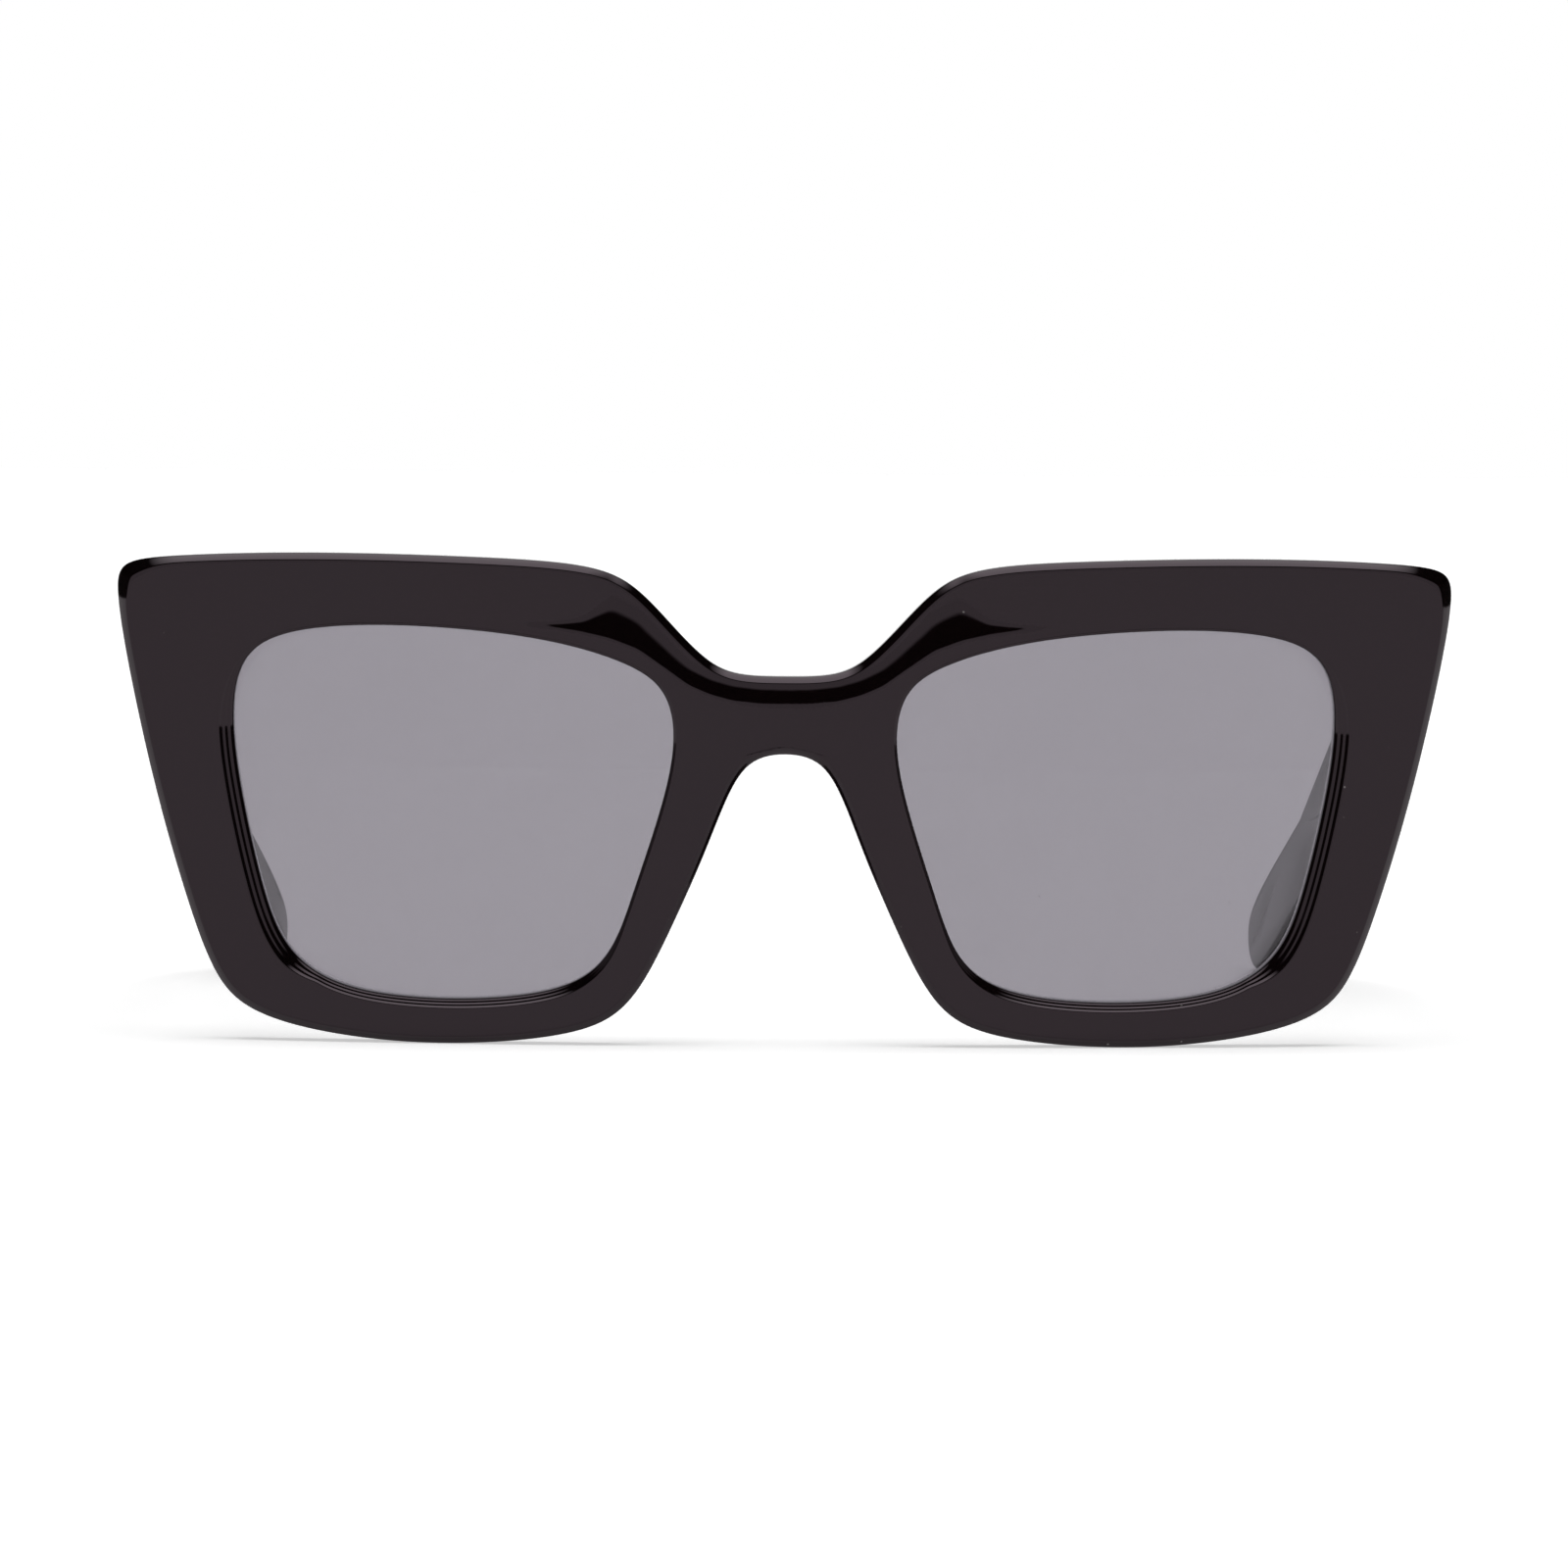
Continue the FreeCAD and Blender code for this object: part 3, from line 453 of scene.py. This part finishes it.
def inwardTurn(along):
    # how far the plan has turned in at a share of the reach: open cubic B-spline of the shares
    poles = np.array(turnShares)
    t = np.linspace(0, 1, 40, endpoint=False)[:, None]
    run = np.vstack([sum(weight * pole for weight, pole in zip(cubicWeights(t), poles[k : k + 4])) / 6
                     for k in range(len(poles) - 3)])
    return temple["tipTurn"] * np.interp(along, run[:, 0], run[:, 1])


def templeSide():
    # the side view: closed spline in (back from the hinge, up), cut square at the butt
    t = temple
    top, low, reach, tip = t["buttLow"] + t["buttHeight"], t["buttLow"], t["reach"], t["tipHeight"]
    poles = [
        (10, low - 1.0), (-12, low + 1.6),
        (-12, top + 2.0), (10, top - 2.0), (0.35 * reach, top - 8.6), (0.57 * reach, top - 14.2),
        (0.685 * reach, top - 17.0), (0.77 * reach, top - 22.0), (0.89 * reach, top - 30.6),
        (0.972 * reach, tip + 2.2), (1.008 * reach, tip - 1.4), (1.0 * reach, 0.9),
        (0.967 * reach, -0.7), (0.925 * reach, 1.9), (0.80 * reach, 10.9), (0.70 * reach, 18.6),
        (0.62 * reach, 22.6), (0.50 * reach, 24.9), (0.30 * reach, low - 4.4),
    ]
    loop = splineLoop(poles, 200)
    face = t["buttFace"]
    keep = loop[:, 0] > face
    first = int(np.argmax(keep & ~np.roll(keep, 1)))
    loop, keep = np.roll(loop, -first, axis=0), np.roll(keep, -first)
    kept = loop[keep]
    lowZ = np.interp(face, [loop[-1, 0], kept[0, 0]], [loop[-1, 1], kept[0, 1]])
    after = loop[len(kept)]
    highZ = kept[-1, 1] + (after[1] - kept[-1, 1]) * (face - kept[-1, 0]) / (after[0] - kept[-1, 0])
    run = np.vstack([[(face, lowZ)], kept, [(face, highZ)]])
    steps, buttSteps = runLength(run), t["buttSteps"]
    run = pointsAt(np.linspace(0, steps[-1], t["around"]), steps, run)
    rise = np.linspace(run[-1, 1], run[0, 1], buttSteps + 2)[1:-1]
    return np.vstack([run, np.column_stack([np.full(buttSteps, face), rise])]), len(run)


def buildTemple():
    # the side view swept across the thickness, its long edges rounded and the butt's barely;
    # the outer side draws in towards the tip: thickness = butt's + (tip's - butt's) x way along
    t = temple
    loop, longCount = templeSide()
    normal = outwardNormals(loop)
    ease = np.ones(len(loop))
    ease[longCount:] = t["buttRound"]
    ease = np.convolve(np.pad(ease, 4, mode="wrap"), np.ones(9) / 9, mode="valid")
    butt = loop[:, 0] < t["buttFace"] + 1e-6
    normal[butt] = (-1, 0)
    thickness = t["thick"] + (t["tipThick"] - t["thick"]) * np.clip(loop[:, 0] / t["reach"], 0, 1.05)
    inner = np.full(len(loop), t["inner"] + t["recess"])
    outer = t["inner"] + thickness
    radius = t["round"] * ease
    quarter = np.linspace(0, np.pi / 2, t["roundSteps"])
    rings = []
    for wall, way, turns in ((inner, 1, quarter), (outer, -1, quarter[::-1])):
        for a in turns:
            edge = loop - normal * (radius * (1 - math.sin(a)))[:, None]
            rings.append(np.column_stack([wall + way * radius * (1 - math.cos(a)), edge]))
    points = np.vstack(rings)
    x = t["hinge"][0] + points[:, 0] - inwardTurn(points[:, 1] / t["reach"])
    return np.column_stack([x, t["hinge"][1] + points[:, 1], points[:, 2]]), sweptFaces(len(rings), len(loop))


nosePad = {
    "halfWide": 2.38, "halfTall": 7.95, "centre": (12.3, 19.95), "lean": 20.5, "foot": 3.4, "back": 9.93,
    "round": 1.8, "endRound": 2.2, "steps": 12, "around": 120,
}


def buildNosePad():
    # a rounded bar that leans with the nose's side, its back edge rounded over
    p = nosePad
    w, h = p["halfWide"], p["halfTall"]
    outline = roundedCorners([(-w, -h), (w, -h), (w, h), (-w, h)], p["endRound"], p["steps"])
    levels = [(0.0, p["foot"])] + quarterRound(p["round"], p["back"], -1, p["steps"])[::-1]
    points, faces = prism(evenLoop(outline, p["around"]), levels)
    lean = math.radians(p["lean"])
    x = p["centre"][0] + points[:, 0] * math.cos(lean) - points[:, 1] * math.sin(lean)
    z = p["centre"][1] + points[:, 0] * math.sin(lean) + points[:, 1] * math.cos(lean)
    return np.column_stack([x, points[:, 2], z]), faces


def newMaterial(name):
    # an empty node tree under a new material
    material = bpy.data.materials.new(name)
    material.use_nodes = True
    tree = material.node_tree
    tree.nodes.clear()
    return material, tree


def addNode(tree, kind, **values):
    # a node whose named settings, or else whose inputs of that name, take the values
    node = tree.nodes.new(kind)
    for key, value in values.items():
        if hasattr(node, key):
            setattr(node, key, value)
        else:
            node.inputs[key.replace("_", " ")].default_value = value
    return node


def addDust(tree, place, scale, reach, above):
    # 1 at the middle of a few scattered cells and 0 elsewhere: near the cell's point, where the
    # cell's own chance is above a limit
    link = tree.links.new
    cells = addNode(tree, "ShaderNodeTexVoronoi", Scale=scale)
    link(place.outputs["Object"], cells.inputs["Vector"])
    near = addNode(tree, "ShaderNodeMapRange", clamp=True)
    near.inputs[1].default_value, near.inputs[2].default_value = reach
    link(cells.outputs["Distance"], near.inputs[0])
    pick = addNode(tree, "ShaderNodeSeparateColor")
    link(cells.outputs["Color"], pick.inputs[0])
    few = addNode(tree, "ShaderNodeMath", operation="GREATER_THAN")
    few.inputs[1].default_value = above
    link(pick.outputs[0], few.inputs[0])
    dust = addNode(tree, "ShaderNodeMath", operation="MULTIPLY")
    link(near.outputs[0], dust.inputs[0])
    link(few.outputs[0], dust.inputs[1])
    return dust


acetate = {
    "colour": (0.0014, 0.0009, 0.0010), "warm": (0.0034, 0.0012, 0.0014), "hazeScale": 38.0,
    "roughness": 0.06, "ior": 1.49, "sheen": 0.34, "sheenTint": (1.0, 0.80, 0.92),
    "dustColour": (0.16, 0.15, 0.145), "dustScale": 620.0, "dustReach": (0.10, 0.03), "dustAbove": 0.945,
    "markScale": 900.0, "markStretch": (0.35, 1.0, 2.6), "markStrength": 0.010, "markDepth": 0.0001,
}


def acetateMaterial():
    # near-black polished acetate: faint warm clouding, a thin haze that varies the polish,
    # sparse pale dust and very fine polishing marks in the surface
    a = acetate
    material, tree = newMaterial("polished_black_acetate")
    link = tree.links.new
    place = addNode(tree, "ShaderNodeTexCoord")
    cloud = addNode(tree, "ShaderNodeTexNoise", Scale=a["hazeScale"], Detail=3.0, Roughness=0.55)
    link(place.outputs["Object"], cloud.inputs["Vector"])
    tone = addNode(tree, "ShaderNodeMix", data_type="RGBA")
    tone.inputs[6].default_value = (*a["colour"], 1)
    tone.inputs[7].default_value = (*a["warm"], 1)
    link(cloud.outputs["Fac"], tone.inputs[0])
    dust = addDust(tree, place, a["dustScale"], a["dustReach"], a["dustAbove"])
    speckle = addNode(tree, "ShaderNodeMix", data_type="RGBA")
    speckle.inputs[7].default_value = (*a["dustColour"], 1)
    link(dust.outputs[0], speckle.inputs[0])
    link(tone.outputs[2], speckle.inputs[6])
    polish = addNode(tree, "ShaderNodeMapRange")
    polish.inputs[1].default_value, polish.inputs[2].default_value = 0.3, 0.75
    polish.inputs[3].default_value = a["roughness"] * 0.8
    polish.inputs[4].default_value = a["roughness"] * 1.7
    link(cloud.outputs["Fac"], polish.inputs[0])
    grain = addNode(tree, "ShaderNodeTexNoise", Scale=a["markScale"], Detail=2.0)
    stretch = addNode(tree, "ShaderNodeVectorMath", operation="MULTIPLY")
    stretch.inputs[1].default_value = a["markStretch"]
    link(place.outputs["Object"], stretch.inputs[0])
    link(stretch.outputs[0], grain.inputs["Vector"])
    marks = addNode(tree, "ShaderNodeBump", Strength=a["markStrength"], Distance=a["markDepth"])
    link(grain.outputs["Fac"], marks.inputs["Height"])
    skin = addNode(tree, "ShaderNodeBsdfPrincipled")
    skin.inputs["IOR"].default_value = a["ior"]
    skin.inputs["Specular IOR Level"].default_value = a["sheen"]
    skin.inputs["Specular Tint"].default_value = (*a["sheenTint"], 1)
    link(speckle.outputs[2], skin.inputs["Base Color"])
    link(polish.outputs[0], skin.inputs["Roughness"])
    link(marks.outputs[0], skin.inputs["Normal"])
    out = addNode(tree, "ShaderNodeOutputMaterial")
    link(skin.outputs[0], out.inputs[0])
    return material


lensFinish = {
    "tint": (0.527, 0.512, 0.541), "shade": 0.012, "smearScale": 26.0, "roughness": 0.02,
    "ior": 1.5, "mirror": 0.7, "moteColour": (0.45, 0.44, 0.43), "moteAmount": 0.35,
    "dustScale": 430.0, "dustReach": (0.07, 0.03), "dustAbove": 0.985,
}


def lensMaterial():
    # a grey tint on each of the two faces over a clear mirror-like polish, with faint smears
    # and a few dust motes that stay pale
    f = lensFinish
    material, tree = newMaterial("grey_tinted_lens")
    link = tree.links.new
    place = addNode(tree, "ShaderNodeTexCoord")
    smear = addNode(tree, "ShaderNodeTexNoise", Scale=f["smearScale"], Detail=4.0, Roughness=0.6)
    link(place.outputs["Object"], smear.inputs["Vector"])
    tint = addNode(tree, "ShaderNodeMix", data_type="RGBA")
    tint.inputs[6].default_value = (*f["tint"], 1)
    tint.inputs[7].default_value = (*[c - f["shade"] for c in f["tint"]], 1)
    link(smear.outputs["Fac"], tint.inputs[0])
    clear = addNode(tree, "ShaderNodeBsdfTransparent")
    link(tint.outputs[2], clear.inputs[0])
    polish = addNode(tree, "ShaderNodeMapRange")
    polish.inputs[1].default_value, polish.inputs[2].default_value = 0.35, 0.8
    polish.inputs[3].default_value, polish.inputs[4].default_value = f["roughness"], f["roughness"] * 4
    link(smear.outputs["Fac"], polish.inputs[0])
    mirror = addNode(tree, "ShaderNodeBsdfGlossy")
    link(polish.outputs[0], mirror.inputs["Roughness"])
    share = addNode(tree, "ShaderNodeFresnel", IOR=f["ior"])
    part = addNode(tree, "ShaderNodeMath", operation="MULTIPLY")
    part.inputs[1].default_value = f["mirror"]
    link(share.outputs[0], part.inputs[0])
    both = addNode(tree, "ShaderNodeMixShader")
    link(part.outputs[0], both.inputs[0])
    link(clear.outputs[0], both.inputs[1])
    link(mirror.outputs[0], both.inputs[2])
    dust = addDust(tree, place, f["dustScale"], f["dustReach"], f["dustAbove"])
    weak = addNode(tree, "ShaderNodeMath", operation="MULTIPLY")
    weak.inputs[1].default_value = f["moteAmount"]
    link(dust.outputs[0], weak.inputs[0])
    mote = addNode(tree, "ShaderNodeBsdfDiffuse")
    mote.inputs[0].default_value = (*f["moteColour"], 1)
    last = addNode(tree, "ShaderNodeMixShader")
    link(weak.outputs[0], last.inputs[0])
    link(both.outputs[0], last.inputs[1])
    link(mote.outputs[0], last.inputs[2])
    out = addNode(tree, "ShaderNodeOutputMaterial")
    link(last.outputs[0], out.inputs[0])
    return material


metals = {
    "hinge": {"name": "nickel_silver_hinge", "colour": (0.60, 0.58, 0.54), "roughness": 0.26,
              "brush": 3000.0},
    "screw": {"name": "polished_steel_screw", "colour": (0.66, 0.66, 0.67), "roughness": 0.16,
              "brush": 5200.0},
    "drawn": (1.0, 1.0, 0.08), "stainScale": 520.0, "stainShade": 0.72,
}


def metalMaterial(name, colour, roughness, brush):
    # satin metal: brushing drawn out along one way varies the polish, with a little tarnish
    material, tree = newMaterial(name)
    link = tree.links.new
    place = addNode(tree, "ShaderNodeTexCoord")
    drawn = addNode(tree, "ShaderNodeVectorMath", operation="MULTIPLY")
    drawn.inputs[1].default_value = metals["drawn"]
    link(place.outputs["Object"], drawn.inputs[0])
    grain = addNode(tree, "ShaderNodeTexNoise", Scale=brush, Detail=3.0)
    link(drawn.outputs[0], grain.inputs["Vector"])
    stain = addNode(tree, "ShaderNodeTexNoise", Scale=metals["stainScale"], Detail=2.0)
    link(place.outputs["Object"], stain.inputs["Vector"])
    tone = addNode(tree, "ShaderNodeMix", data_type="RGBA")
    tone.inputs[6].default_value = (*colour, 1)
    tone.inputs[7].default_value = (*[c * metals["stainShade"] for c in colour], 1)
    link(stain.outputs["Fac"], tone.inputs[0])
    polish = addNode(tree, "ShaderNodeMapRange")
    polish.inputs[3].default_value, polish.inputs[4].default_value = roughness * 0.7, roughness * 1.5
    link(grain.outputs["Fac"], polish.inputs[0])
    skin = addNode(tree, "ShaderNodeBsdfPrincipled", Metallic=1.0)
    link(tone.outputs[2], skin.inputs["Base Color"])
    link(polish.outputs[0], skin.inputs["Roughness"])
    out = addNode(tree, "ShaderNodeOutputMaterial")
    link(skin.outputs[0], out.inputs[0])
    return material


def makePair(name, built, material, bodies, nodes, sharpAngle=40):
    # the wearer's left piece as built and the right one mirrored across x = 0
    points, faces = built
    makePiece("left_" + name, points, faces, material, bodies[0], ["left_" + nodes], sharpAngle)
    makePiece("right_" + name, points * [-1, 1, 1], [f[::-1] for f in faces], material, bodies[1],
              ["right_" + nodes], sharpAngle)
    print(name, "pair done")


blackAcetate = acetateMaterial()
greyLens = lensMaterial()
hingeMetal = metalMaterial(**metals["hinge"])
screwMetal = metalMaterial(**metals["screw"])

points, faces = buildFront()
blockPoints, blockFaces = mirrorHalf(*buildEndPiece())
faces = faces + [[len(points) + k for k in f] for f in blockFaces]
points = np.vstack([points, blockPoints])
makePiece("front", points, faces, blackAcetate, "front", ["front_frame"], 32)
print("front done:", len(points), "points")
makePair("tinted_lens", buildLens(), greyLens, ("front", "front"), "lens")
makePair("acetate_temple", buildTemple(), blackAcetate, ("left_temple", "right_temple"), "temple",
         35)
makePair("acetate_nose_pad", buildNosePad(), blackAcetate, ("front", "front"), "nose_pad",
         35)

for name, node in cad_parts.items():
    if node.hide_render:
        continue
    node.data.materials.clear()
    node.data.materials.append(screwMetal if name.endswith("screw") else hingeMetal)
print("hinges and screws finished")

studio = {
    "floorSize": 6.0, "floorWhite": 0.86, "floorGlow": 0.50, "mottleScale": 60.0, "mottleShade": 0.01,
    "lowSky": 1.0, "bandSky": 0.012, "highSky": 3.2, "bandLow": 22.0, "bandHigh": 63.0,
    "lowFade": (-0.08, 0.02), "highFade": (-0.05, 0.05), "sideFrom": 0.70, "sideTo": 0.80, "sideSky": 0.02,
}


def floorMaterial():
    # plain white paper: a pale diffuse skin that glows faintly, with a barely seen mottle
    material, tree = newMaterial("white_paper_floor")
    link = tree.links.new
    place = addNode(tree, "ShaderNodeTexCoord")
    mottle = addNode(tree, "ShaderNodeTexNoise", Scale=studio["mottleScale"], Detail=2.0)
    link(place.outputs["Object"], mottle.inputs["Vector"])
    tone = addNode(tree, "ShaderNodeMapRange")
    tone.inputs[3].default_value = studio["floorWhite"] - studio["mottleShade"]
    tone.inputs[4].default_value = studio["floorWhite"]
    link(mottle.outputs["Fac"], tone.inputs[0])
    skin = addNode(tree, "ShaderNodeBsdfDiffuse")
    link(tone.outputs[0], skin.inputs[0])
    glow = addNode(tree, "ShaderNodeEmission", Strength=studio["floorGlow"])
    both = addNode(tree, "ShaderNodeAddShader")
    link(skin.outputs[0], both.inputs[0])
    link(glow.outputs[0], both.inputs[1])
    out = addNode(tree, "ShaderNodeOutputMaterial")
    link(both.outputs[0], out.inputs[0])
    return material


side = studio["floorSize"]
floorMesh = bpy.data.meshes.new("floor")
corners = [(-side, -side, 0), (side, -side, 0), (side, side, 0), (-side, side, 0)]
floorMesh.from_pydata(corners, [], [(0, 1, 2, 3)])
floor = bpy.data.objects.new("floor", floorMesh)
bpy.context.scene.collection.objects.link(floor)
floorMesh.materials.append(floorMaterial())


def buildSky():
    # the room by direction: white low down, a dark band above the eye line and a bright ceiling,
    # as a ramp over the sine of the elevation, times dark walls where |x| is near 1
    world = bpy.data.worlds.new("white_room")
    bpy.context.scene.world = world
    world.use_nodes = True
    tree = world.node_tree
    tree.nodes.clear()
    link = tree.links.new
    where = addNode(tree, "ShaderNodeTexCoord")
    parts = addNode(tree, "ShaderNodeSeparateXYZ")
    link(where.outputs["Generated"], parts.inputs[0])
    ramp = addNode(tree, "ShaderNodeValToRGB")
    stops = ramp.color_ramp.elements
    s = studio
    low, high = math.sin(math.radians(s["bandLow"])), math.sin(math.radians(s["bandHigh"]))
    (lowFrom, lowTo), (highFrom, highTo) = s["lowFade"], s["highFade"]
    values = [(0.0, s["lowSky"]), (low + lowFrom, s["lowSky"]), (low + lowTo, s["bandSky"]),
              (high + highFrom, s["bandSky"]), (high + highTo, s["highSky"]), (1.0, s["highSky"])]
    while len(stops) < len(values):
        stops.new(0.5)
    for stop, (spot, value) in zip(stops, values):
        stop.position = spot
        stop.color = (value, value, value, 1)
    link(parts.outputs[2], ramp.inputs[0])
    across = addNode(tree, "ShaderNodeMath", operation="ABSOLUTE")
    link(parts.outputs[0], across.inputs[0])
    wings = addNode(tree, "ShaderNodeMapRange", clamp=True)
    wings.inputs[1].default_value, wings.inputs[2].default_value = s["sideFrom"], s["sideTo"]
    wings.inputs[3].default_value, wings.inputs[4].default_value = 1.0, s["sideSky"]
    link(across.outputs[0], wings.inputs[0])
    sky = addNode(tree, "ShaderNodeBackground")
    link(ramp.outputs[0], sky.inputs[0])
    link(wings.outputs[0], sky.inputs[1])
    out = addNode(tree, "ShaderNodeOutputWorld")
    link(sky.outputs[0], out.inputs[0])


buildSky()
bpy.context.scene.view_settings.view_transform = "Standard"

view = {"from": (-14.0, -1050.0, 73.0), "at": (-0.1, 0.0, 28.65), "lens": 222.3, "roll": 0.43,
        "sensor": 36, "nearest": 0.01}
camera = bpy.data.objects.new("camera", bpy.data.cameras.new("camera"))
bpy.context.scene.collection.objects.link(camera)
eyePoint = Vector(view["from"]) + Vector((0, backShift, 0))
lookPoint = Vector(view["at"]) + Vector((0, backShift, 0))
facing = (lookPoint - eyePoint).to_track_quat("-Z", "Y").to_matrix()
turned = facing @ Matrix.Rotation(math.radians(view["roll"]), 3, "Z")
camera.matrix_world = Matrix.Translation(eyePoint * millimetre) @ turned.to_4x4()
camera.data.lens = view["lens"]
camera.data.sensor_width = view["sensor"]
camera.data.clip_start = view["nearest"]
bpy.context.scene.camera = camera
